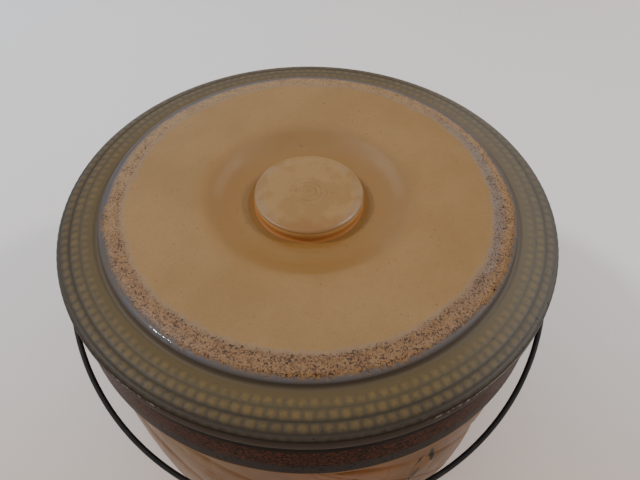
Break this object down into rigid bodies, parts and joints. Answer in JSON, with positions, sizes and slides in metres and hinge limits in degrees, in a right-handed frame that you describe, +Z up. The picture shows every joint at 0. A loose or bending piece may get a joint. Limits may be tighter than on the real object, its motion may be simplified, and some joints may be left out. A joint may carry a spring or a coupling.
{
  "type": "butter dish",
  "caption": "Round glazed stoneware butter crock that stands on its flat base, with a loose lift-off lid that has a button knob, and a wire bail that swings over it to carry it.",
  "frame": {"origin": "centre of the crock's flat base, on the surface it stands on", "axes": "+Z up, the bail's hinge line along X, -Y towards the side where the bail rests"},
  "size_m": [0.2104, 0.2, 0.1275],
  "materials": {
    "crock_glaze": "glossy tan, blue-grey and brown stoneware glaze, matt bare clay under the base",
    "lid_glaze": "glossy tan glaze with a brown-speckled ring and a blue-grey beaded rim",
    "black_wire": "worn black lacquer on drawn steel wire"
  },
  "bodies": {
    "crock": {"crock": "crock_glaze"},
    "lid": {"lid": "lid_glaze"},
    "bail": {"bail_wire": "black_wire"}
  },
  "joints": [
    {"name": "lid_lift", "type": "slide", "parent": "crock", "child": "lid", "axis": [0, 0, 1], "range_m": [0, 0.15]},
    {"name": "bail_swing", "type": "hinge", "parent": "crock", "child": "bail", "pos_m": [0, 0, 0.094], "axis": [-1, 0, 0], "range_deg": [0, 239.8]}
  ]
}
